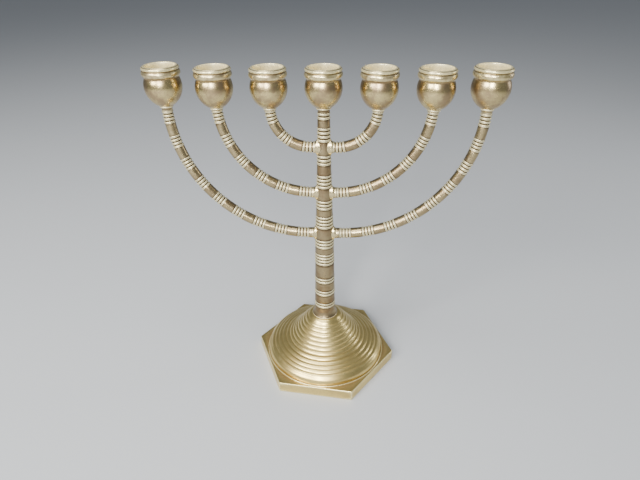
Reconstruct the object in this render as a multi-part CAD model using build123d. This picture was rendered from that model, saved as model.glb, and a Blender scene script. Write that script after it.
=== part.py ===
from build123d import *
import math
import os

# Seven-branch brass candelabrum on a hexagonal foot. Millimetres, +Z up, arms along X.
# The origin is the middle of the foot's resting face, on the stem's axis.

# ---- foot -------------------------------------------------------------------
HEX_CORNER_R = 68.1         # centre to corner of the hexagonal plate
HEX_TURN = -5.9             # degrees that the plate's corners are turned from +X
HEX_CORNER_ROUND = 1.6
PLATE_TOP = 10.8
PLATE_CHAMFER = 0.8
BEAD_R, BEAD_RISE = 57.3, 0.8          # thin bead where the dome meets the plate
DOME_TOP_R, DOME_TOP_Z = 12.5, 53.0
RIB_SWELL = 0.55                       # how far each rib stands out between two grooves
# bottom of each turned groove: radius, height
GROOVES = [(16.6, 49.4), (19.3, 46.3), (22.0, 42.9), (24.6, 39.5), (27.2, 36.1), (29.8, 32.9),
           (32.4, 29.9), (35.3, 27.3), (38.9, 25.4), (43.0, 23.7), (46.9, 21.9), (50.4, 20.0),
           (53.8, 17.9)]
CAVITY_R = 52.0             # open underside of the foot
BOSS_R, BOSS_Z = 9.5, 36.0  # boss under the dome that the nut pulls against

# ---- stem -------------------------------------------------------------------
STEM_FOOT_Z, STEM_TOP_Z = 53.0, 252.7
STEM_FLARE_R, STEM_COLLAR_R = 12.4, 5.9
STEM_TAPER = [(58.5, 9.6), (135.0, 8.2), (150.0, 7.7), (167.0, 7.0), (206.0, 5.8), (229.0, 5.3),
              (249.8, 4.75)]           # height, radius of the plain bands
STEM_RINGS = [(66.2, 2), (80.4, 2), (94.5, 2), (117.5, 4), (133.5, 3), (155.0, 4), (171.4, 3),
              (192.5, 4), (211.0, 3), (232.0, 4), (246.6, 2)]     # middle of each group, ridges
RING_PITCH = 3.05
GROOVE_W, GROOVE_DEPTH, RING_PROUD = 1.1, 0.5, 0.12

# ---- arms -------------------------------------------------------------------
# name, height at the stem, reach of its cup, radius of the bend, height of the cup's seat,
# first ring group from the stem's axis, number of groups
TIERS = [("inner", 220.9, 41.3, 30.8, 252.5, 12.0, 3),
         ("middle", 181.2, 82.8, 73.7, 252.4, 14.8, 6),
         ("outer", 142.1, 122.0, 108.3, 253.5, 17.6, 9)]
SIDES = [("left", -1), ("right", 1)]
ARM_ROOT_R, ARM_END_R = 4.45, 4.15
ARM_COLLAR_R, ARM_COLLAR_L = 5.0, 1.4
GROUP_STEP = 19.7           # from one ring group to the next along an arm
ARM_RING_PITCH, ARM_GROOVE_W = 2.8, 0.9
ARM_GROOVE_DEPTH = 0.5
TENON_R, TENON_L = 2.6, 3.4
BRAZE_FLARE, BRAZE_REACH = 2.2, 2.4    # how far the root fillet spreads and runs out
BRAZE_SIDE = 0.35           # how far it stands out at the front and the back
BRAZE_DEPTH = 4.0

# ---- cups -------------------------------------------------------------------
CUP_H = 29.8                # from the seat to the lip's crest
BORE_R, BORE_DEPTH = 11.25, 20.0       # takes a 22 mm taper candle
LIP_BEAD_R, LIP_BEAD_SWELL = 14.0, 0.9
LOWER_BEAD_R, LOWER_BEAD_SWELL = 14.4, 1.2
WAIST_R, WAIST_Z = 12.8, 20.9
BULB_R, BULB_Z = 14.2, 13.4
LOWER_BEAD_FOOT, BEAD_GROOVE, LIP_BEAD_HEAD = 21.9, 26.9, 29.2    # heights above the seat
CUP_FOOT_R = 5.7
FLOOR_FLAT_R, FLOOR_T = 4.0, 5.2

# ---- fixings ----------------------------------------------------------------
SCREW_R, SCREW_HEAD_R, SCREW_HEAD_H, SCREW_GRIP = 1.5, 2.75, 1.9, 8.0
SLOT_W, SLOT_DEPTH = 0.8, 0.9
HOLE_PLAY = 0.05
STUD_R, STUD_TOP, STUD_END = 4.0, 74.0, 25.0
WASHER_R, WASHER_T = 9.0, 1.6
NUT_FLATS, NUT_H = 13.0, 6.5


def stem_radius(z):
    """Radius of the plain stem at height z, straight between the taper's stations."""
    low = STEM_TAPER[0]
    for high in STEM_TAPER[1:]:
        if z <= high[0] or high is STEM_TAPER[-1]:
            share = (z - low[0]) / (high[0] - low[0])
            return low[1] + share * (high[1] - low[1])
        low = high


def lathe(edges):
    """Solid of revolution about Z from the edges of a closed outline in the XZ plane."""
    return revolve(make_face(Wire(edges)), Axis.Z)


def line(a, b):
    return Edge.make_line((a[0], 0, a[1]), (b[0], 0, b[1]))


def bulge(a, b, height):
    """Arc from a to b that stands out by height, to the right of the way from a to b."""
    dx, dz = b[0] - a[0], b[1] - a[1]
    run = math.hypot(dx, dz)
    middle = ((a[0] + b[0]) / 2 + dz / run * height, (a[1] + b[1]) / 2 - dx / run * height)
    return Edge.make_three_point_arc((a[0], 0, a[1]), (middle[0], 0, middle[1]), (b[0], 0, b[1]))


def polyline(points):
    return [line(a, b) for a, b in zip(points, points[1:])]


def upright(radius, low, high):
    """Plain cylinder on the Z axis between two heights."""
    return Pos(0, 0, low) * Cylinder(radius, high - low, align=(Align.CENTER, Align.CENTER, Align.MIN))


# ---- foot -------------------------------------------------------------------
def make_foot():
    plate = extrude(RegularPolygon(HEX_CORNER_R, 6, rotation=HEX_TURN), PLATE_TOP)
    plate = fillet(plate.edges().filter_by(Axis.Z), HEX_CORNER_ROUND)
    plate = chamfer(plate.faces().sort_by(Axis.Z)[-1].edges(), PLATE_CHAMFER)

    bead_in, bead_out = (BEAD_R - 0.6, PLATE_TOP), (BEAD_R + 0.6, PLATE_TOP)
    dome = [line((0, PLATE_TOP - 2), (0, DOME_TOP_Z)), line((0, DOME_TOP_Z), (DOME_TOP_R, DOME_TOP_Z))]
    rim = (DOME_TOP_R, DOME_TOP_Z)
    for groove in GROOVES:
        dome.append(bulge(rim, groove, -RIB_SWELL))
        rim = groove
    shoulder = (BEAD_R - 0.9, PLATE_TOP + 0.3)
    dome.append(bulge(rim, shoulder, -1.0))
    dome.append(line(shoulder, bead_in))
    dome.append(bulge(bead_in, bead_out, -BEAD_RISE))
    dome.append(line(bead_out, (BEAD_R + 0.6, PLATE_TOP - 2)))
    dome.append(line((BEAD_R + 0.6, PLATE_TOP - 2), (0, PLATE_TOP - 2)))

    cavity = polyline([(0, -1), (CAVITY_R, -1), (CAVITY_R, 8), (48.5, 14), (37.5, 20.5), (29.5, 27.5),
                       (16.5, 42.5), (BOSS_R, 42.5), (BOSS_R, BOSS_Z), (0, BOSS_Z), (0, -1)])
    stud_hole = upright(STUD_R + HOLE_PLAY, BOSS_Z - 1, DOME_TOP_Z + 1)
    return plate + lathe(dome) - lathe(cavity) - stud_hole


# ---- stem -------------------------------------------------------------------
def make_stem():
    outline = [line((0, STEM_FOOT_Z), (STEM_FLARE_R, STEM_FOOT_Z))]
    here = (stem_radius(STEM_TAPER[0][0]), STEM_TAPER[0][0])
    outline.append(bulge((STEM_FLARE_R, STEM_FOOT_Z), here, -0.9))
    for middle, ridges in STEM_RINGS:
        first = middle - RING_PITCH * (ridges - 2) / 2
        for groove in range(ridges - 1):
            z = first + groove * RING_PITCH
            radius = stem_radius(z)
            low, high = z - GROOVE_W / 2, z + GROOVE_W / 2
            if groove == 0:
                outline.append(line(here, (radius, low)))
            else:
                outline.append(bulge(here, (radius, low), RING_PROUD))
            outline.append(line((radius, low), (radius - GROOVE_DEPTH, low + 0.2)))
            outline.append(line((radius - GROOVE_DEPTH, low + 0.2), (radius - GROOVE_DEPTH, high - 0.2)))
            outline.append(line((radius - GROOVE_DEPTH, high - 0.2), (radius, high)))
            here = (radius, high)
    neck = (STEM_TAPER[-1][1], STEM_TOP_Z - 2.4)
    collar = (STEM_COLLAR_R, STEM_TOP_Z - 0.6)
    outline.append(line(here, neck))
    outline.append(bulge(neck, collar, -0.4))
    outline.append(line(collar, (STEM_COLLAR_R, STEM_TOP_Z)))
    outline.append(line((STEM_COLLAR_R, STEM_TOP_Z), (0, STEM_TOP_Z)))
    outline.append(line((0, STEM_TOP_Z), (0, STEM_FOOT_Z)))
    stem = lathe(outline)
    for _, height, _, _, _, _, _ in TIERS:
        for _, side in SIDES:
            stem -= tenon_bore(height, side)
    stem -= upright(STUD_R + HOLE_PLAY, STEM_FOOT_Z - 1, STUD_TOP + 1)
    return stem - upright(SCREW_R + HOLE_PLAY, STEM_TOP_Z - SCREW_GRIP - 1, STEM_TOP_Z + 1)


def tenon_bore(height, side):
    """Blind hole in the stem for one arm's tenon."""
    start = stem_radius(height) - TENON_L
    bore = Cylinder(TENON_R, TENON_L + 3, align=(Align.CENTER, Align.CENTER, Align.MIN))
    return Pos(side * start, 0, height) * Rot(0, side * 90, 0) * bore


# ---- arms -------------------------------------------------------------------
def arm_stations(tier):
    """Lengths along an arm, from the stem's axis, where its radius changes, with the radii."""
    _, height, reach, bend, seat, first_group, groups = tier
    straight = reach - bend
    turn = math.acos(max(0.0, (height + bend - seat) / bend))
    total = straight + bend * turn + max(0.0, seat - height - bend)
    root = stem_radius(height) + 0.6

    def radius(s):
        return ARM_ROOT_R + (ARM_END_R - ARM_ROOT_R) * s / total

    slices = []
    here = root
    for group in range(groups):
        middle = first_group + group * GROUP_STEP
        for groove in (-1, 0, 1):
            start = middle + groove * ARM_RING_PITCH - ARM_GROOVE_W / 2
            slices.append((here, start, radius(start)))
            slices.append((start, start + ARM_GROOVE_W, radius(start) - ARM_GROOVE_DEPTH))
            here = start + ARM_GROOVE_W
    slices.append((here, total - ARM_COLLAR_L, radius(total)))
    slices.append((total - ARM_COLLAR_L, total, ARM_COLLAR_R))
    return slices, total


def arm_place(tier, s):
    """Point and slope, in radians, of an arm's centre line at length s from the stem's axis."""
    _, height, reach, bend, seat, _, _ = tier
    straight = reach - bend
    full = math.acos(max(0.0, (height + bend - seat) / bend))
    if s <= straight:
        return (s, height), 0.0
    turn = min((s - straight) / bend, full)
    rise = max(0.0, s - straight - bend * full)
    x = straight + bend * math.sin(turn)
    return (x, height + bend * (1 - math.cos(turn)) + rise), turn


def arm_slice(tier, low, high, radius):
    """One turned band of an arm: round in section, following the centre line."""
    parts = []
    straight = tier[2] - tier[3]
    bend_end = straight + tier[3] * math.acos(max(0.0, (tier[1] + tier[3] - tier[4]) / tier[3]))
    cuts = [low] + [c for c in (straight, bend_end) if low < c - 0.01 and c + 0.01 < high] + [high]
    for a, b in zip(cuts, cuts[1:]):
        (x0, z0), slope = arm_place(tier, a)
        section = Plane(origin=(x0, 0, z0), x_dir=(0, 1, 0), z_dir=(math.cos(slope), 0, math.sin(slope)))
        face = section * Circle(radius)
        if a + 0.005 >= straight and b - 0.005 <= bend_end:
            axis = Axis((straight, 0, tier[1] + tier[3]), (0, -1, 0))
            parts.append(revolve(face, axis, math.degrees((b - a) / tier[3])))
        else:
            parts.append(extrude(face, b - a))
    return parts


def make_arm(tier):
    """Right-hand arm of a tier: tenon, banded rod, collar under the cup."""
    slices, total = arm_stations(tier)
    root = slices[0][0]
    solids = [piece for low, high, radius in slices for piece in arm_slice(tier, low, high, radius)]
    tenon_foot = stem_radius(tier[1]) - TENON_L
    tenon = Cylinder(TENON_R, root - tenon_foot, align=(Align.CENTER, Align.CENTER, Align.MIN))
    solids.append(Pos(tenon_foot, 0, tier[1]) * Rot(0, 90, 0) * tenon)
    arm = solids[0].fuse(*solids[1:])
    # the seat is cut level, whatever the slope of the bend there
    top = Pos(tier[2], 0, tier[4]) * Box(40, 40, 20, align=(Align.CENTER, Align.CENTER, Align.MIN))
    hole = Pos(tier[2], 0, tier[4] - SCREW_GRIP - 1) * Cylinder(
        SCREW_R + HOLE_PLAY, SCREW_GRIP + 2, align=(Align.CENTER, Align.CENTER, Align.MIN))
    return arm - top - hole


def make_braze(tier, stem):
    """Flared fillet of braze round the root of a right-hand arm, fitted to the stem."""
    inner, outer = ARM_ROOT_R, ARM_ROOT_R + BRAZE_FLARE
    root = stem_radius(tier[1]) + 0.6
    back, shoulder, tip = root - BRAZE_DEPTH, root - 0.5, root + BRAZE_REACH
    flare = lathe([line((inner, back), (outer, back)),
                   line((outer, back), (outer, shoulder)),
                   bulge((outer, shoulder), (inner + 0.15, tip), -0.8),
                   line((inner + 0.15, tip), (inner, tip)),
                   line((inner, tip), (inner, back))])
    oval = Pos(0, 0, back) * extrude(Ellipse(outer, inner + BRAZE_SIDE), tip - back)
    fillet_ring = Pos(0, 0, tier[1]) * Rot(0, 90, 0) * (flare & oval) - stem
    # a loose sliver is left in a turned groove of the stem where the ring crosses one
    return max(fillet_ring.solids(), key=lambda solid: solid.volume)


# ---- cups and their screws --------------------------------------------------
def make_cup():
    """Candle cup standing on its seat at z = 0: two lip beads, waist and bulb, drilled socket."""
    top = CUP_H
    floor = FLOOR_T
    bore_foot = top - BORE_DEPTH
    lower_bead = (LOWER_BEAD_R - LOWER_BEAD_SWELL, LOWER_BEAD_FOOT)
    groove = (lower_bead[0], BEAD_GROOVE)
    lip_head = (LIP_BEAD_R - LIP_BEAD_SWELL, LIP_BEAD_HEAD)
    outline = [line((0, 0), (CUP_FOOT_R, 0)),
               bulge((CUP_FOOT_R, 0), (BULB_R, BULB_Z), 1.9),
               bulge((BULB_R, BULB_Z), (WAIST_R, WAIST_Z), 0.45),
               line((WAIST_R, WAIST_Z), lower_bead),
               bulge(lower_bead, groove, LOWER_BEAD_SWELL),
               bulge(groove, lip_head, LIP_BEAD_SWELL),
               bulge(lip_head, (BORE_R + 0.5, top), 0.2),
               bulge((BORE_R + 0.5, top), (BORE_R, top - 0.6), 0.15),
               line((BORE_R, top - 0.6), (BORE_R, bore_foot)),
               line((BORE_R, bore_foot), (FLOOR_FLAT_R, floor)),
               line((FLOOR_FLAT_R, floor), (0, floor)),
               line((0, floor), (0, 0))]
    return lathe(outline) - upright(SCREW_R + HOLE_PLAY, -1, floor + 1)


def make_screw():
    """Slotted cheese-head screw, its head on the cup's floor, shank down into the arm."""
    screw = upright(SCREW_R, -SCREW_GRIP, FLOOR_T + 0.1) + upright(SCREW_HEAD_R, FLOOR_T, FLOOR_T + SCREW_HEAD_H)
    head_top = FLOOR_T + SCREW_HEAD_H
    screw = chamfer(screw.edges().filter_by(GeomType.CIRCLE).sort_by(Axis.Z)[-1], 0.3)
    slot = Box(3 * SCREW_HEAD_R, SLOT_W, SLOT_DEPTH, align=(Align.CENTER, Align.CENTER, Align.MAX))
    return screw - Pos(0, 0, head_top) * slot


# ---- fixings under the foot -------------------------------------------------
def make_stud():
    return chamfer(upright(STUD_R, STUD_END, STUD_TOP).edges(), 0.6)


def make_washer():
    return upright(WASHER_R, BOSS_Z - WASHER_T, BOSS_Z) - upright(STUD_R + 0.3, 0, BOSS_Z + 1)


def make_nut():
    low = BOSS_Z - WASHER_T - NUT_H
    blank = Pos(0, 0, low) * extrude(RegularPolygon(NUT_FLATS / 2, 6, major_radius=False), NUT_H)
    cone = Pos(0, 0, low) * Cone(NUT_FLATS / 2 + 0.2, NUT_FLATS / 2 + 0.2 + NUT_H, NUT_H,
                                 align=(Align.CENTER, Align.CENTER, Align.MIN))
    return (blank & cone) - upright(STUD_R + HOLE_PLAY, low - 1, BOSS_Z)


# ---- put together -----------------------------------------------------------
def whole(shape):
    """The one solid of a finished piece."""
    solids = shape.solids()
    assert len(solids) == 1, len(solids)
    return solids[0]


def build():
    pieces = {"foot": make_foot(), "stem": make_stem(), "foot_stud": make_stud(),
              "foot_washer": make_washer(), "foot_nut": make_nut()}
    cup, screw = make_cup(), make_screw()
    pieces["cup_centre"] = Pos(0, 0, STEM_TOP_Z) * cup
    pieces["cup_screw_centre"] = Pos(0, 0, STEM_TOP_Z) * screw
    for tier in TIERS:
        name, _, reach, _, seat, _, _ = tier
        arm = make_arm(tier)
        braze = make_braze(tier, pieces["stem"])
        for side_name, side in SIDES:
            turn = 0 if side > 0 else 180
            pieces[f"arm_{name}_{side_name}"] = Rot(0, 0, turn) * arm
            pieces[f"root_braze_{name}_{side_name}"] = Rot(0, 0, turn) * braze
            pieces[f"cup_{name}_{side_name}"] = Pos(side * reach, 0, seat) * cup
            pieces[f"cup_screw_{name}_{side_name}"] = Pos(side * reach, 0, seat) * screw
    return pieces


os.makedirs("parts", exist_ok=True)
for node, piece in build().items():
    export_step(whole(piece), f"parts/{node}.step")
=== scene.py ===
import math

import bpy
import numpy as np
from mathutils import Matrix, Vector


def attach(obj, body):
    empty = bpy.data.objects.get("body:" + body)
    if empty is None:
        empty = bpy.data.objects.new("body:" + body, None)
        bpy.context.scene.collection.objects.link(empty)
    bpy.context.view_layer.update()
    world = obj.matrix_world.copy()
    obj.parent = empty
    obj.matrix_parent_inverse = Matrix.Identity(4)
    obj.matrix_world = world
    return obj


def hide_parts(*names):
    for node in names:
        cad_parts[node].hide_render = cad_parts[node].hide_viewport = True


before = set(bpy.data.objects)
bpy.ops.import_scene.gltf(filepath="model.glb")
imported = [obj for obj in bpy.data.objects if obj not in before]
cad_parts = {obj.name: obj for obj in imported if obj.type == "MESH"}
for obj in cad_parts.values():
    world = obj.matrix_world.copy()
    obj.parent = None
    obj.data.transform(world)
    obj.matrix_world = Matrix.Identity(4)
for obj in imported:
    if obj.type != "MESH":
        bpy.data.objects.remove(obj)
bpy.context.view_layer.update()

bpy.ops.object.select_all(action="DESELECT")

# ---- Camera ------------------------------------------------------------------
# Standing height, a short lens held a little above the cups and looking down on
# the foot, turned slightly to the left.
MM = 0.001
LENS = 27.08
EYE = Vector((22.6, -363.8, 358.1)) * MM
LOOK_DOWN, LOOK_LEFT, LEAN = 31.54, 4.19, -0.71

bpy.ops.object.camera_add(location=EYE)
camera = bpy.context.object
camera.name = "camera"
camera.data.lens = LENS
camera.data.sensor_width = 36
camera.data.clip_start = 0.01
camera.matrix_world = (
    Matrix.Translation(EYE)
    @ Matrix.Rotation(math.radians(LOOK_LEFT), 4, "Z")
    @ Matrix.Rotation(math.radians(90 - LOOK_DOWN), 4, "X")
    @ Matrix.Rotation(math.radians(LEAN), 4, "Z")
)
bpy.context.scene.camera = camera

# ---- Studio ------------------------------------------------------------------
# A plain pale floor that runs out of sight and four soft boxes: one above the
# camera, one to its left, a wide one overhead and a narrow one at the right.
FLOOR_REACH = 30.0

bpy.ops.object.select_all(action="DESELECT")
bpy.ops.mesh.primitive_plane_add(size=FLOOR_REACH, location=(0, 0, 0))
floor = bpy.context.object
floor.name = "floor"
floor_paint = bpy.data.materials.new("floor_paint")
floor_paint.use_nodes = True
floor_shader = floor_paint.node_tree.nodes["Principled BSDF"]
floor_shader.inputs["Base Color"].default_value = (0.46, 0.475, 0.49, 1)
floor_shader.inputs["Roughness"].default_value = 0.75
floor.data.materials.append(floor_paint)

world = bpy.data.worlds.new("studio_air")
world.use_nodes = True
world.node_tree.nodes["Background"].inputs["Color"].default_value = (0.80, 0.85, 0.92, 1)
world.node_tree.nodes["Background"].inputs["Strength"].default_value = 0.30
bpy.context.scene.world = world


def soft_box(name, place, aim, width, height, watts, tint):
    """Rectangular area light at place, facing aim."""
    bpy.ops.object.select_all(action="DESELECT")
    bpy.ops.object.light_add(type="AREA", location=place)
    lamp = bpy.context.object
    lamp.name = name
    lamp.data.shape = "RECTANGLE"
    lamp.data.size, lamp.data.size_y = width, height
    lamp.data.energy = watts
    lamp.data.color = tint
    lamp.rotation_euler = (Vector(aim) - Vector(place)).to_track_quat("-Z", "Y").to_euler()
    return lamp


MIDDLE = (0, 0, 0.15)
soft_box("key_box", (-0.12, -1.25, 0.85), MIDDLE, 0.36, 0.50, 27, (1.0, 1.0, 0.98))
soft_box("window_box", (-0.85, -0.95, 0.95), MIDDLE, 0.65, 0.65, 27, (1.0, 0.98, 0.94))
soft_box("top_box", (-0.25, -0.25, 1.5), MIDDLE, 0.9, 0.8, 14, (0.97, 0.98, 1.0))
soft_box("rim_box", (1.0, 0.30, 0.42), MIDDLE, 0.10, 0.5, 1.6, (0.97, 0.98, 1.0))

# ---- Foot --------------------------------------------------------------------
# One hollow brass casting: a hexagonal plate with a bell-shaped dome, its ribs
# cut on the lathe. The inside is left rough, with a boss for the stud.
DOME_TOP = (12.5, 53.0)
GROOVES = [(16.6, 49.4), (19.3, 46.3), (22.0, 42.9), (24.6, 39.5), (27.2, 36.1), (29.8, 32.9),
           (32.4, 29.9), (35.3, 27.3), (38.9, 25.4), (43.0, 23.7), (46.9, 21.9), (50.4, 20.0),
           (53.8, 17.9)]
RIB_SWELL = 0.55
PLATE_TOP = 10.75
BEAD_R = 57.1
HEX_CORNER_R = 68.0
HEX_TURN = -5.9
FOOT_STEPS = 240
CORNER_ROUND = 1.5
EDGE_WEAR = 0.8
CORNER_POINTS, CORNER_SPACING = 2, 0.32
SMOOTHINGS = 2
MERGE_GAP = 0.002
SHARP = math.radians(50)
RIDGE_SCATTER, BORE_SCATTER = 0.3, 0.5


def arc(start, end, swell, count):
    """Points after start, up to end, on a circular arc standing out by swell to the left of the way."""
    ax, az = start
    bx, bz = end
    run = math.hypot(bx - ax, bz - az)
    along = ((bx - ax) / run, (bz - az) / run)
    radius = (run * run / 4 + swell * swell) / (2 * swell)
    spread = 2 * math.atan(2 * swell / run)
    points = []
    for step in range(1, count + 1):
        turn = spread * (2 * step / count - 1)
        way = run / 2 + radius * math.sin(turn)
        lift = radius * (math.cos(turn) - math.cos(spread))
        points.append((ax + along[0] * way - along[1] * lift, az + along[1] * way + along[0] * lift))
    return points


def finish_mesh():
    """Merges doubles, turns the faces outwards and leaves edit mode."""
    bpy.ops.mesh.select_all(action="SELECT")
    bpy.ops.mesh.remove_doubles(threshold=MERGE_GAP * MM)
    bpy.ops.mesh.normals_make_consistent(inside=False)
    bpy.ops.mesh.select_all(action="DESELECT")
    bpy.ops.object.mode_set(mode="OBJECT")


def draw_and_spin(outline, steps):
    """In edit mode: a vertex is extruded along the outline of (radius, height), then spun about Z."""
    bpy.ops.mesh.select_all(action="SELECT")
    bpy.ops.mesh.merge(type="CENTER")
    bpy.ops.transform.translate(value=(outline[0][0] * MM, 0, outline[0][1] * MM))
    for (r0, z0), (r1, z1) in zip(outline, outline[1:]):
        bpy.ops.mesh.extrude_region_move(
            TRANSFORM_OT_translate={"value": ((r1 - r0) * MM, 0, (z1 - z0) * MM)})
    bpy.ops.mesh.select_all(action="SELECT")
    bpy.ops.mesh.spin(steps=steps, angle=math.tau, center=(0, 0, 0), axis=(0, 0, 1))
    bpy.ops.mesh.select_all(action="SELECT")
    bpy.ops.mesh.remove_doubles(threshold=MERGE_GAP * MM)


def new_piece(name):
    """A small plane at the origin, in edit mode, as the start of a turned piece."""
    bpy.ops.object.select_all(action="DESELECT")
    bpy.ops.mesh.primitive_plane_add(size=MM, location=(0, 0, 0))
    piece = bpy.context.object
    piece.name = piece.data.name = name
    bpy.ops.object.mode_set(mode="EDIT")
    return piece


def select_ring(piece, test):
    """In edit mode: selects the vertices, and the edges between them, that pass the test."""
    bpy.ops.mesh.select_mode(type="VERT")
    bpy.ops.mesh.select_all(action="DESELECT")
    bpy.ops.object.mode_set(mode="OBJECT")
    for vertex in piece.data.vertices:
        vertex.select = test(vertex.co / MM)
    bpy.ops.object.mode_set(mode="EDIT")


def wobble(piece, strength, size):
    """Slight unevenness of a hand-finished casting, by a cloud displacement, applied."""
    cloud = bpy.data.textures.new(piece.name + "_unevenness", "CLOUDS")
    cloud.noise_scale = size * MM
    cloud.noise_depth = 1
    press = piece.modifiers.new("unevenness", "DISPLACE")
    press.texture = cloud
    press.texture_coords = "LOCAL"
    press.strength = strength * MM
    press.mid_level = 0.5
    bpy.ops.object.modifier_apply(modifier=press.name)


def mark_finish(piece, across, up, inside=0.0):
    """Stores on each point how sharp the ridge or hollow is there, in 1/mm, and its place along the cut."""
    mesh = piece.data
    count = len(mesh.vertices)
    spots = np.empty(count * 3)
    mesh.vertices.foreach_get("co", spots)
    spots = spots.reshape(count, 3) / MM
    facing = np.empty(count * 3)
    mesh.vertices.foreach_get("normal", facing)
    facing = facing.reshape(count, 3)
    ends = np.empty(len(mesh.edges) * 2, int)
    mesh.edges.foreach_get("vertices", ends)
    ends = ends.reshape(-1, 2)
    way = spots[ends[:, 1]] - spots[ends[:, 0]]
    length = np.maximum((way ** 2).sum(1), 0.01)
    near = np.bincount(ends[:, 0], minlength=count) + np.bincount(ends[:, 1], minlength=count)
    bend = np.zeros(count)
    for end, sign in ((0, -2), (1, 2)):
        share = sign * (facing[ends[:, end]] * way).sum(1) / length
        bend += np.bincount(ends[:, end], weights=share, minlength=count)
    bend /= np.maximum(near, 1)
    for _ in range(SMOOTHINGS):
        spread = np.bincount(ends[:, 0], weights=bend[ends[:, 1]], minlength=count)
        spread += np.bincount(ends[:, 1], weights=bend[ends[:, 0]], minlength=count)
        bend = 0.5 * bend + 0.5 * spread / np.maximum(near, 1)
    # this bend drives rubbed wear and dirt, and with them a painted highlight on ridges and painted shade in
    # hollows
    wear_and_painted_light = mesh.attributes.new("ridge", "FLOAT", "POINT")
    wear_and_painted_light.data.foreach_set("value", bend)
    # mask of the socket wall, which the material paints with light
    painted_light_bore = mesh.attributes.new("painted_light_bore", "FLOAT", "POINT")
    inward = (facing[:, :2] * spots[:, :2]).sum(1) < 0.1
    painted_light_bore.data.foreach_set("value", (inward & (np.hypot(spots[:, 0], spots[:, 1]) < inside)).astype(float))
    cut = mesh.attributes.new("cut", "FLOAT", "POINT")
    cut.data.foreach_set("value", across * np.hypot(spots[:, 0], spots[:, 1]) + up * spots[:, 2])


dome = [(52.0, 0.0), (52.0, 8.0)]
dome += arc((52.0, 8.0), (48.5, 14.0), 0.6, 4)
dome += arc((48.5, 14.0), (37.5, 20.5), 0.8, 5)
dome += arc((37.5, 20.5), (29.5, 27.5), -0.4, 5)
dome += arc((29.5, 27.5), (16.5, 42.5), 0.2, 5)
dome += arc((16.5, 42.5), (10.2, 42.5), -0.6, 5)
dome += [(9.5, 41.5), (9.5, 36.4), (9.1, 36.0), (4.1, 36.0), (4.1, 52.9), DOME_TOP]
rim = DOME_TOP
for groove in GROOVES:
    dome += arc(rim, groove, RIB_SWELL, 8)
    rim = groove
shoulder = (BEAD_R - 0.9, PLATE_TOP + 0.4)
dome += arc(rim, shoulder, 1.1, 10)
dome += arc(shoulder, (BEAD_R - 0.6, PLATE_TOP + 0.1), -0.1, 3)
dome += arc((BEAD_R - 0.6, PLATE_TOP + 0.1), (BEAD_R + 0.6, PLATE_TOP), 0.5, 8)

foot = new_piece("foot_casting")
draw_and_spin(dome, FOOT_STEPS)

# the plate is drawn out from the bead to a hexagon: rounded corners, worn top edge, flat underside
select_ring(foot, lambda co: abs(co.z - PLATE_TOP) < 0.01 and math.hypot(co.x, co.y) > BEAD_R + 0.5)
bpy.ops.mesh.extrude_edges_move(TRANSFORM_OT_translate={"value": (0, 0, 0)})
bpy.ops.object.mode_set(mode="OBJECT")
per_side = FOOT_STEPS // 6
flat = (HEX_CORNER_R - EDGE_WEAR) * math.cos(math.radians(30))
for vertex in foot.data.vertices:
    if vertex.select:
        step = round(math.atan2(vertex.co.y, vertex.co.x) / math.tau * FOOT_STEPS)
        corner = round(step / per_side)
        beside = step - corner * per_side
        if abs(beside) <= CORNER_POINTS:
            off = math.radians(beside * CORNER_SPACING)
            inset = HEX_CORNER_R - EDGE_WEAR - CORNER_ROUND / math.cos(math.radians(30))
            reach = inset * math.cos(off) + math.sqrt(CORNER_ROUND ** 2 - (inset * math.sin(off)) ** 2)
        else:
            off = math.radians(beside * 60 / per_side)
            reach = flat / math.cos(math.radians(30) - abs(off))
        turn = math.radians(60) * corner + off
        vertex.co = (reach * MM * math.cos(turn), reach * MM * math.sin(turn), PLATE_TOP * MM)
bpy.ops.object.mode_set(mode="EDIT")
level = PLATE_TOP
grown = flat
for spread, height in [(0.32, 10.66), (0.58, 10.4), (0.7, 9.9), (0.7, 7.6), (0.7, 5.4), (0.7, 3.2),
                       (0.7, 0.7), (0.5, 0.2), (0.1, 0.0)]:
    bpy.ops.mesh.extrude_edges_move(TRANSFORM_OT_translate={"value": (0, 0, (height - level) * MM)})
    grow = (flat + spread) / grown
    bpy.ops.transform.resize(value=(grow, grow, 1), center_override=(0, 0, 0))
    grown *= grow
    level = height
select_ring(foot, lambda co: abs(co.z) < 0.005)
bpy.ops.mesh.bridge_edge_loops()
bpy.ops.object.mode_set(mode="OBJECT")
foot.data.transform(Matrix.Rotation(math.radians(HEX_TURN), 4, "Z"))
bpy.ops.object.mode_set(mode="EDIT")
finish_mesh()
mark_finish(foot, 1, -1)
wobble(foot, 0.10, 16)
for vertex in foot.data.vertices:
    vertex.co.z = max(vertex.co.z, 0.0)


def ramp(tree, low, high):
    """Smooth step from low to high; returns the node."""
    step = tree.nodes.new("ShaderNodeMapRange")
    step.interpolation_type = "SMOOTHSTEP"
    step.inputs["From Min"].default_value = low
    step.inputs["From Max"].default_value = high
    return step


def sum_of(tree, kind, first, second):
    """Math node of that kind; first and second are sockets or numbers."""
    node = tree.nodes.new("ShaderNodeMath")
    node.operation = kind
    for socket, value in zip(node.inputs, (first, second)):
        if isinstance(value, (int, float)):
            socket.default_value = value
        else:
            tree.links.new(value, socket)
    return node.outputs[0]


def noise(tree, place, size, detail, roughness=0.55):
    """Cloud noise about size mm across; size may be a socket of clouds per metre."""
    cloud = tree.nodes.new("ShaderNodeTexNoise")
    cloud.inputs["Detail"].default_value = detail
    cloud.inputs["Roughness"].default_value = roughness
    if isinstance(size, (int, float)):
        cloud.inputs["Scale"].default_value = 1000 / size
    else:
        tree.links.new(size, cloud.inputs["Scale"])
    tree.links.new(place, cloud.inputs["Vector"])
    return cloud.outputs["Fac"]


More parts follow.
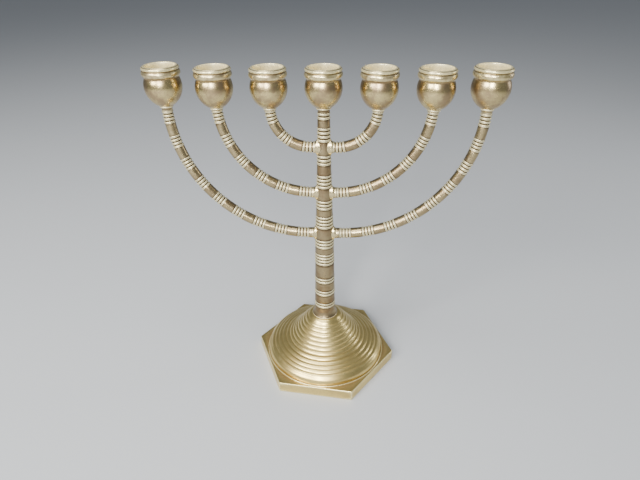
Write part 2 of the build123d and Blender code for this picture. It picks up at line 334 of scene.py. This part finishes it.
def node_group(name, takes, gives):
    """Empty shader group with float inputs and outputs, and its two end nodes."""
    group = bpy.data.node_groups.new(name, "ShaderNodeTree")
    for label, value in takes:
        socket = group.interface.new_socket(label, in_out="INPUT", socket_type="NodeSocketFloat")
        socket.default_value = value
    for label in gives:
        group.interface.new_socket(label, in_out="OUTPUT", socket_type="NodeSocketFloat")
    return group, group.nodes.new("NodeGroupInput"), group.nodes.new("NodeGroupOutput")


# tarnish: cloudy blotches, broken up by a finer mottle
tarnish_group, entry, leave = node_group(
    "cloudy_tarnish", [("Patches", 90.0), ("Cover", 0.5)], ["Blotch", "Mottle", "Speck"])
place = tarnish_group.nodes.new("ShaderNodeTexCoord").outputs["Object"]
patches = noise(tarnish_group, place, entry.outputs["Patches"], 4)
mottle = noise(tarnish_group, place, 1.9, 3)
speck = noise(tarnish_group, place, 0.55, 2, 0.7)
uneven = sum_of(tarnish_group, "MULTIPLY_ADD", mottle, 0.22)
tarnish_group.links.new(patches, uneven.node.inputs[2])
level = sum_of(tarnish_group, "SUBTRACT", uneven, 0.61)
level = sum_of(tarnish_group, "ADD", level, entry.outputs["Cover"])
blotch = ramp(tarnish_group, 0.38, 0.62)
tarnish_group.links.new(level, blotch.inputs["Value"])
tarnish_group.links.new(blotch.outputs["Result"], leave.inputs["Blotch"])
tarnish_group.links.new(mottle, leave.inputs["Mottle"])
tarnish_group.links.new(speck, leave.inputs["Speck"])

# wear and painted light: ridges rubbed bright and given a painted highlight, hollows left with old polish and
# dirt and darkened further as painted shade
wear_and_light_group, entry, leave = node_group(
    "ridge_wear_and_painted_light", [("Rub Highlight Start", 0.15), ("Rub Highlight Full", 0.5), ("Dirt With Shade Start", 0.0), ("Dirt With Shade Full", -0.5)],
    ["Rubbed With Highlight", "Dirt With Shade"])
ridge = wear_and_light_group.nodes.new("ShaderNodeAttribute")
ridge.attribute_name = "ridge"
place = wear_and_light_group.nodes.new("ShaderNodeTexCoord").outputs["Object"]
patchy = sum_of(wear_and_light_group, "MULTIPLY_ADD", noise(wear_and_light_group, place, 3.5, 3), 0.24)
patchy.node.inputs[2].default_value = -0.12
sharpness = sum_of(wear_and_light_group, "ADD", ridge.outputs["Fac"], patchy)
for label, low, high in (("Rubbed With Highlight", "Rub Highlight Start", "Rub Highlight Full"), ("Dirt With Shade", "Dirt With Shade Start", "Dirt With Shade Full")):
    step = ramp(wear_and_light_group, 0, 1)
    wear_and_light_group.links.new(entry.outputs[low], step.inputs["From Min"])
    wear_and_light_group.links.new(entry.outputs[high], step.inputs["From Max"])
    wear_and_light_group.links.new(sharpness, step.inputs["Value"])
    wear_and_light_group.links.new(step.outputs["Result"], leave.inputs[label])

# surface: fine rings left by the turning tool, a soft cast waviness and small pits
surface_group, entry, leave = node_group(
    "tool_marks", [("Rings", 1.0), ("Waves", 1.0), ("Pits", 1.0)], ["Height"])
cut = surface_group.nodes.new("ShaderNodeAttribute")
cut.attribute_name = "cut"
place = surface_group.nodes.new("ShaderNodeTexCoord").outputs["Object"]
rings = surface_group.nodes.new("ShaderNodeTexNoise")
rings.noise_dimensions = "1D"
rings.inputs["Scale"].default_value = 3.2
rings.inputs["Detail"].default_value = 3
surface_group.links.new(cut.outputs["Fac"], rings.inputs["W"])
ring_height = sum_of(surface_group, "MULTIPLY", rings.outputs["Fac"], entry.outputs["Rings"])
wave_height = sum_of(surface_group, "MULTIPLY", noise(surface_group, place, 6.0, 2), entry.outputs["Waves"])
pit = ramp(surface_group, 0.30, 0.42)
surface_group.links.new(noise(surface_group, place, 0.9, 2), pit.inputs["Value"])
pit_height = sum_of(surface_group, "MULTIPLY", pit.outputs["Result"], entry.outputs["Pits"])
height = sum_of(surface_group, "ADD", ring_height, wave_height)
height = sum_of(surface_group, "ADD", height, pit_height)
surface_group.links.new(height, leave.inputs["Height"])


def aged_brass(name, body, stain, rubbed_with_highlight, dirt_with_shade, patches, cover, wear_and_painted_light, marks, gloss, inside=None):
    """Unlacquered brass. The four ridge levels set where ridges turn pale, rubbed wear with a painted
    highlight, and where hollows turn dark, dirt with painted shade; marks: rings, waves, pits; gloss: rubbed,
    body, stained. An inside colour paints light into the socket.
    """
    paint = bpy.data.materials.new(name)
    paint.use_nodes = True
    tree = paint.node_tree
    shader = tree.nodes["Principled BSDF"]
    groups = []
    for group, values in ((tarnish_group, (patches, cover)), (wear_and_light_group, wear_and_painted_light), (surface_group, marks)):
        node = tree.nodes.new("ShaderNodeGroup")
        node.node_tree = group
        for socket, value in zip(node.inputs, values):
            socket.default_value = value
        groups.append(node)
    clouds, ridges, surface = groups

    # base colour: tarnish blotches, then the hollows darkened as real dirt with painted shade, then the
    # ridges lightened as rubbed wear with a painted highlight
    colour = None
    for mask, tint in ((clouds.outputs["Blotch"], stain), (ridges.outputs["Dirt With Shade"], dirt_with_shade),
                       (ridges.outputs["Rubbed With Highlight"], rubbed_with_highlight)):
        mix = tree.nodes.new("ShaderNodeMix")
        mix.data_type = "RGBA"
        mix.inputs["B"].default_value = (*tint, 1)
        tree.links.new(mask, mix.inputs["Factor"])
        if colour is None:
            mix.inputs["A"].default_value = (*body, 1)
        else:
            tree.links.new(colour, mix.inputs["A"])
        colour = mix.outputs["Result"]
    # the socket wall gets a pale bright colour: painted light filling the cup
    if inside:
        painted_light_bore = tree.nodes.new("ShaderNodeAttribute")
        painted_light_bore.attribute_name = "painted_light_bore"
        mix = tree.nodes.new("ShaderNodeMix")
        mix.data_type = "RGBA"
        mix.inputs["B"].default_value = (*inside, 1)
        tree.links.new(painted_light_bore.outputs["Fac"], mix.inputs["Factor"])
        tree.links.new(colour, mix.inputs["A"])
        colour = mix.outputs["Result"]
    shade = tree.nodes.new("ShaderNodeMix")
    shade.data_type = "RGBA"
    shade.blend_type = "MULTIPLY"
    shade.inputs["Factor"].default_value = 0.35
    tree.links.new(colour, shade.inputs["A"])
    tree.links.new(clouds.outputs["Mottle"], shade.inputs["B"])
    tree.links.new(shade.outputs["Result"], shader.inputs["Base Color"])

    rub_rough, body_rough, stain_rough = gloss
    rough = ramp(tree, 0, 1)
    rough.interpolation_type = "LINEAR"
    rough.inputs["To Min"].default_value = body_rough
    rough.inputs["To Max"].default_value = stain_rough
    tree.links.new(clouds.outputs["Blotch"], rough.inputs["Value"])
    less = sum_of(tree, "MULTIPLY", ridges.outputs["Rubbed With Highlight"], rub_rough - body_rough)
    rough = sum_of(tree, "ADD", rough.outputs["Result"], less)
    grain = sum_of(tree, "MULTIPLY_ADD", clouds.outputs["Speck"], 0.14)
    grain.node.inputs[2].default_value = -0.07
    rough = sum_of(tree, "ADD", rough, grain)
    tree.links.new(rough, shader.inputs["Roughness"])

    dull = ramp(tree, 0, 1)
    dull.inputs["To Min"].default_value = 1.0
    dull.inputs["To Max"].default_value = 0.72
    tree.links.new(ridges.outputs["Dirt With Shade"], dull.inputs["Value"])
    # rubbed ridges are made less metallic so their pale painted highlight shows from every side
    metal = sum_of(tree, "MULTIPLY_ADD", ridges.outputs["Rubbed With Highlight"], -RIDGE_SCATTER)
    tree.links.new(dull.outputs["Result"], metal.node.inputs[2])
    # the socket wall is made less metallic so its painted light shows
    if inside:
        bore_metal = sum_of(tree, "MULTIPLY_ADD", painted_light_bore.outputs["Fac"], -BORE_SCATTER)
        bore_metal.node.inputs[2].default_value = 1.0
        metal = sum_of(tree, "MULTIPLY", metal, bore_metal)
    tree.links.new(metal, shader.inputs["Metallic"])

    bump = tree.nodes.new("ShaderNodeBump")
    bump.inputs["Strength"].default_value = 1.0
    bump.inputs["Distance"].default_value = 0.05 * MM
    tree.links.new(surface.outputs["Height"], bump.inputs["Height"])
    tree.links.new(bump.outputs["Normal"], shader.inputs["Normal"])
    return paint


def settle(piece, node, paint):
    """Gives a finished piece its material and its place in the frame."""
    piece.data.materials.append(paint)
    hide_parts(node)
    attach(piece, "root")


# foot: the dark hollow colour is real dirt with painted shade, the pale ridge colour rubbed wear with a
# painted highlight
foot_brass = aged_brass(
    "foot_brass", body=(0.90, 0.70, 0.27), stain=(0.72, 0.54, 0.20), rubbed_with_highlight=(0.99, 0.85, 0.42),
    dirt_with_shade=(0.42, 0.29, 0.11), patches=45, cover=0.40, wear_and_painted_light=(0.10, 0.35, -0.04, -0.6),
    marks=(0.3, 0.2, 0.12), gloss=(0.24, 0.30, 0.37))
bpy.ops.object.shade_smooth_by_angle(angle=SHARP)
flat_faces = foot.modifiers.new("flat_faces_stay_flat", "WEIGHTED_NORMAL")
flat_faces.keep_sharp = True
bpy.ops.object.modifier_apply(modifier=flat_faces.name)
settle(foot, "foot", foot_brass)

# ---- Stem --------------------------------------------------------------------
# A tapered brass rod turned with eleven groups of rings, drilled from below for
# the stud and from above for the cup's screw. It stands on the dome.
STEM_FOOT_Z = 53.0
STEM_TOP_Z = 252.7
STEM_FLARE_R = 12.4
STEM_COLLAR_R = 5.85
STEM_TAPER = [(58.5, 9.6), (135.0, 8.2), (150.0, 7.7), (167.0, 7.0), (206.0, 5.8), (229.0, 5.3),
              (249.8, 4.75)]
STEM_RINGS = [(66.2, 2), (80.4, 2), (94.5, 2), (117.5, 4), (133.5, 3), (155.0, 4), (171.4, 3),
              (192.5, 4), (211.0, 3), (232.0, 4), (246.6, 2)]
RING_PITCH = 3.05
RING_WIDTH = 1.95
GROOVE_DEPTH, RING_PROUD = 0.5, 0.12
STUD_HOLE_R, STUD_HOLE_TOP = 4.05, 74.5
SCREW_HOLE_R, SCREW_HOLE_DEPTH = 1.55, 9.0
STEM_STEPS = 80


def stem_radius(z):
    """Radius of the plain bands at height z."""
    heights, radii = zip(*STEM_TAPER)
    return float(np.interp(z, heights, radii))


def ring_group(start, middle, ridges, pitch, width, depth, radius):
    """Outline of rounded ridges with a groove between each two, on from the plain band at start."""
    low = middle - pitch * (ridges - 1) / 2
    first = (radius(low) - 0.14, low - width / 2)
    points = arc(start, (radius(low) - 0.03, first[1] - 0.3), -0.04, 4)
    points.append(first)
    for ridge in range(ridges):
        centre = low + ridge * pitch
        top = radius(centre) + RING_PROUD
        bottom = top - RING_PROUD - depth
        rise = centre - width / 2
        fall = centre + width / 2
        if ridge == 0:
            points += arc(first, (top, centre), -0.22, 6)
        else:
            points.append((bottom, rise))
            points += arc(points[-1], (top, centre), -0.3, 7)
        if ridge < ridges - 1:
            points += arc(points[-1], (bottom, fall), -0.3, 7)
        else:
            points += arc(points[-1], (radius(fall) - 0.14, fall), -0.22, 6)
            points.append((radius(fall) - 0.03, fall + 0.3))
    return points


stem_line = [(0.0, STUD_HOLE_TOP), (STUD_HOLE_R, STUD_HOLE_TOP), (STUD_HOLE_R, STEM_FOOT_Z),
             (STEM_FLARE_R - 0.6, STEM_FOOT_Z)]
stem_line += arc(stem_line[-1], (STEM_FLARE_R - 0.7, STEM_FOOT_Z + 0.6), -0.25, 4)
stem_line += arc(stem_line[-1], (stem_radius(0), STEM_TAPER[0][0]), 0.25, 10)
for middle, ridges in STEM_RINGS:
    stem_line += ring_group(stem_line[-1], middle, ridges, RING_PITCH, RING_WIDTH, GROOVE_DEPTH, stem_radius)
neck_foot = (stem_line[-1][0] - 0.05, STEM_TOP_Z - 2.4)
stem_line += arc(stem_line[-1], neck_foot, 0.05, 3)
stem_line += arc(neck_foot, (STEM_COLLAR_R - 0.1, STEM_TOP_Z - 0.8), 0.3, 5)
stem_line += arc(stem_line[-1], (STEM_COLLAR_R - 0.2, STEM_TOP_Z), -0.25, 4)
stem_line += [(SCREW_HOLE_R, STEM_TOP_Z), (SCREW_HOLE_R, STEM_TOP_Z - SCREW_HOLE_DEPTH),
              (0.0, STEM_TOP_Z - SCREW_HOLE_DEPTH)]

stem = new_piece("stem_column")
draw_and_spin(stem_line, STEM_STEPS)
finish_mesh()
mark_finish(stem, 0.5, 1)
bpy.ops.object.shade_smooth_by_angle(angle=SHARP)
# stem: the dark hollow colour is real dirt with painted shade, the pale ridge colour rubbed wear with a
# painted highlight
stem_brass = aged_brass(
    "stem_brass", body=(0.43, 0.335, 0.185), stain=(0.30, 0.21, 0.115), rubbed_with_highlight=(1.0, 0.90, 0.56),
    dirt_with_shade=(0.10, 0.065, 0.03), patches=80, cover=0.48, wear_and_painted_light=(0.11, 0.26, 0.0, -0.25),
    marks=(0.7, 0.8, 0.6), gloss=(0.36, 0.29, 0.38))
settle(stem, "stem", stem_brass)

# ---- Arms --------------------------------------------------------------------
# Six brass rods turned straight, with groups of ridges, then bent cold round a
# former. A tenon at the root goes into the stem; the cup sits on the upper end.
TIERS = [("inner", 220.9, 41.3, 30.8, 252.5, 11.8, 3, 20.5),
         ("middle", 181.2, 82.8, 73.7, 252.4, 15.5, 6, 19.95),
         ("outer", 142.1, 122.0, 108.3, 253.5, 18.3, 9, 19.95)]
SIDES = (("left", -1), ("right", 1))
ARM_ROOT_R, ARM_END_R = 4.45, 4.15
ARM_COLLAR_R = 5.0
ARM_PITCH = 2.75
ARM_RIDGE = 1.8
ARM_GROOVE = 0.46
TENON_R, TENON_L = 2.6, 3.4
ARM_STEPS = 44
PATH_CUTS = 48


def arm_outline(height, total, first_group, groups, step_on):
    """Half outline of a straight rod: (radius, length from the stem's axis)."""
    def radius(s):
        return ARM_ROOT_R + (ARM_END_R - ARM_ROOT_R) * s / total

    root = stem_radius(height) + 0.4
    points = [(0.0, root - TENON_L), (TENON_R, root - TENON_L), (TENON_R, root), (radius(root), root)]
    for group in range(groups):
        middle = first_group + group * step_on
        here = points[-1]
        gap = middle - 1.5 * ARM_PITCH - here[1]
        if gap > 4:
            step = (here[0], here[1] + gap / 2)
            points += arc(here, step, -0.03, 4)
        points += ring_group(points[-1], middle, 4, ARM_PITCH, ARM_RIDGE, ARM_GROOVE, radius)
    here = points[-1]
    neck = (ARM_END_R - 0.05, total - 3.6)
    if neck[1] - here[1] > 3:
        points += arc(here, (neck[0], (here[1] + neck[1]) / 2), -0.03, 4)
    points += arc(points[-1], neck, 0.03, 4)
    points += arc(neck, (ARM_COLLAR_R - 0.05, total - 1.3), 0.25, 5)
    points += arc(points[-1], (ARM_COLLAR_R - 0.15, total), -0.3, 5)
    points += [(SCREW_HOLE_R, total), (SCREW_HOLE_R, total - SCREW_HOLE_DEPTH),
               (0.0, total - SCREW_HOLE_DEPTH)]
    return points


def bending_line(side, height, reach, bend, seat):
    """Straight run, round bend and short rise up to the seat, as a curve from the stem's axis."""
    straight = reach - bend
    turn = math.acos(max(0.0, (height + bend - seat) / bend))
    rise = max(0.0, seat - height - bend)
    pull = 4 / 3 * math.tan(turn / 4) * bend
    end_x, end_z = straight + bend * math.sin(turn), height + bend * (1 - math.cos(turn))
    knots = [((0, height), (1, 0), 1, straight / 3), ((straight, height), (1, 0), straight / 3, pull),
             ((end_x, end_z), (math.cos(turn), math.sin(turn)), pull, 1)]
    if rise > 0:
        knots.append(((end_x, seat), (0, 1), rise / 3, 1))
    bpy.ops.object.select_all(action="DESELECT")
    bpy.ops.curve.primitive_bezier_curve_add()
    path = bpy.context.object
    path.location = (0, 0, 0)
    path.data.dimensions = "3D"
    path.data.twist_mode = "MINIMUM"
    path.data.resolution_u = PATH_CUTS
    spline = path.data.splines[0]
    spline.bezier_points.add(len(knots) - 2)
    for knot, ((x, z), (dx, dz), before, after) in zip(spline.bezier_points, knots):
        knot.handle_left_type = knot.handle_right_type = "FREE"
        knot.co = (side * x * MM, 0, z * MM)
        knot.handle_left = (side * (x - dx * before) * MM, 0, (z - dz * before) * MM)
        knot.handle_right = (side * (x + dx * after) * MM, 0, (z + dz * after) * MM)
    total = straight + bend * turn + rise
    return path, total


# arms: the dark hollow colour is real dirt with painted shade, the pale ridge colour rubbed wear with a
# painted highlight
arm_brass = aged_brass(
    "arm_brass", body=(0.52, 0.41, 0.22), stain=(0.35, 0.26, 0.145), rubbed_with_highlight=(1.0, 0.90, 0.56),
    dirt_with_shade=(0.12, 0.08, 0.04), patches=85, cover=0.46, wear_and_painted_light=(0.13, 0.28, 0.0, -0.25),
    marks=(0.7, 0.8, 0.6), gloss=(0.36, 0.28, 0.36))

for tier, height, reach, bend, seat, first_group, groups, step_on in TIERS:
    for side_name, side in SIDES:
        path, total = bending_line(side, height, reach, bend, seat)
        arm = new_piece(f"branch_{tier}_{side_name}")
        draw_and_spin(arm_outline(height, total, first_group, groups, step_on), ARM_STEPS)
        finish_mesh()
        mark_finish(arm, 0.5, 1)
        former = arm.modifiers.new("bent_round_former", "CURVE")
        former.object = path
        former.deform_axis = "POS_Z"
        bpy.ops.object.modifier_apply(modifier=former.name)
        bpy.data.objects.remove(path)
        bpy.ops.object.shade_smooth_by_angle(angle=SHARP)
        settle(arm, f"arm_{tier}_{side_name}", arm_brass)

# ---- Candle cups -------------------------------------------------------------
# Seven brass cups turned from bar: a round bulb, a waist and two beads at the lip,
# with a straight drilled socket. Each is screwed down through its floor.
CUP_H = 29.8
BORE_R, BORE_DEPTH = 11.3, 20.0
LIP_BEAD_R, LOWER_BEAD_R, WAIST_R, BULB_R = 13.95, 14.35, 12.8, 14.2
CUP_FOOT_R = 5.7
FLOOR_FLAT_R, FLOOR_T = 4.0, 5.2
CUP_STEPS = 96

cup_line = [(SCREW_HOLE_R, 0.0), (CUP_FOOT_R, 0.0)]
cup_line += arc(cup_line[-1], (BULB_R, 13.4), -1.95, 18)
cup_line += arc(cup_line[-1], (WAIST_R, 20.9), -0.5, 10)
cup_line += arc(cup_line[-1], (LOWER_BEAD_R - 1.15, 22.0), 0.15, 3)
cup_line += arc(cup_line[-1], (LOWER_BEAD_R - 1.2, 26.9), -1.18, 14)
cup_line += arc(cup_line[-1], (LIP_BEAD_R - 0.85, 29.1), -0.85, 10)
cup_line += arc(cup_line[-1], (BORE_R + 0.6, CUP_H - 0.05), -0.15, 5)
cup_line += arc(cup_line[-1], (BORE_R, CUP_H - 0.6), -0.15, 4)
cup_line += [(BORE_R, CUP_H - depth) for depth in (3, 6, 9, 12, 16, BORE_DEPTH)]
cup_line += [(FLOOR_FLAT_R, FLOOR_T), (SCREW_HOLE_R, FLOOR_T), (SCREW_HOLE_R, 0.0)]

# cups: the dark hollow colour is real dirt with painted shade, the pale ridge colour rubbed wear with a
# painted highlight; the inside colour is painted light in the socket
cup_brass = aged_brass(
    "cup_brass", body=(0.76, 0.61, 0.29), stain=(0.44, 0.32, 0.18), rubbed_with_highlight=(0.99, 0.87, 0.48),
    dirt_with_shade=(0.28, 0.19, 0.09), patches=85, cover=0.50, wear_and_painted_light=(0.11, 0.30, -0.04, -0.5),
    marks=(0.4, 0.8, 0.4), gloss=(0.20, 0.24, 0.34), inside=(0.98, 0.86, 0.50))

pattern_cup = new_piece("pattern_cup")
draw_and_spin(cup_line, CUP_STEPS)
finish_mesh()
mark_finish(pattern_cup, 0.7, 1, BORE_R + 0.3)
bpy.ops.object.shade_smooth_by_angle(angle=SHARP)

cup_places = [("centre", 0.0, STEM_TOP_Z)]
for tier, _, reach, _, seat, _, _, _ in TIERS:
    cup_places += [(f"{tier}_{side_name}", side * reach, seat) for side_name, side in SIDES]
for turn, (place_name, across, seat) in enumerate(cup_places):
    cup = pattern_cup.copy()
    cup.data = pattern_cup.data.copy()
    cup.name = cup.data.name = f"candle_cup_{place_name}"
    bpy.context.collection.objects.link(cup)
    cup.data.transform(Matrix.Translation((across * MM, 0, seat * MM)) @ Matrix.Rotation(turn, 4, "Z"))
    settle(cup, f"cup_{place_name}", cup_brass)
bpy.data.objects.remove(pattern_cup)

# ---- Root brazes and fixings -------------------------------------------------
# The arms are brazed into the stem with a yellow filler that stays brighter than
# the rods. The cup screws are brass; the stud, washer and nut below are steel.
# here too the dark hollow colour carries painted shade and the pale ridge colour a painted highlight, along
# with real dirt and wear
braze_brass = aged_brass(
    "braze_brass", body=(0.80, 0.66, 0.36), stain=(0.60, 0.46, 0.24), rubbed_with_highlight=(0.92, 0.80, 0.52),
    dirt_with_shade=(0.3, 0.2, 0.1), patches=140, cover=0.3, wear_and_painted_light=(0.3, 0.6, -0.1, -0.5),
    marks=(0.0, 1.6, 0.8), gloss=(0.22, 0.28, 0.38))
screw_brass = aged_brass(
    "screw_brass", body=(0.55, 0.42, 0.22), stain=(0.36, 0.26, 0.15), rubbed_with_highlight=(0.9, 0.78, 0.5),
    dirt_with_shade=(0.2, 0.14, 0.07), patches=300, cover=0.45, wear_and_painted_light=(0.3, 0.6, -0.1, -0.5),
    marks=(0.0, 0.6, 0.8), gloss=(0.25, 0.34, 0.45))
fixing_steel = aged_brass(
    "fixing_steel", body=(0.42, 0.41, 0.39), stain=(0.25, 0.21, 0.17), rubbed_with_highlight=(0.7, 0.69, 0.66),
    dirt_with_shade=(0.1, 0.08, 0.06), patches=160, cover=0.4, wear_and_painted_light=(0.3, 0.6, -0.1, -0.5),
    marks=(0.0, 0.5, 1.0), gloss=(0.28, 0.36, 0.5))
finishes = {"root_braze": braze_brass, "cup_screw": screw_brass, "foot_stud": fixing_steel,
            "foot_washer": fixing_steel, "foot_nut": fixing_steel}
for node, cad_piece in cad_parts.items():
    for start, paint in finishes.items():
        if node.startswith(start):
            cad_piece.data.materials.clear()
            cad_piece.data.materials.append(paint)
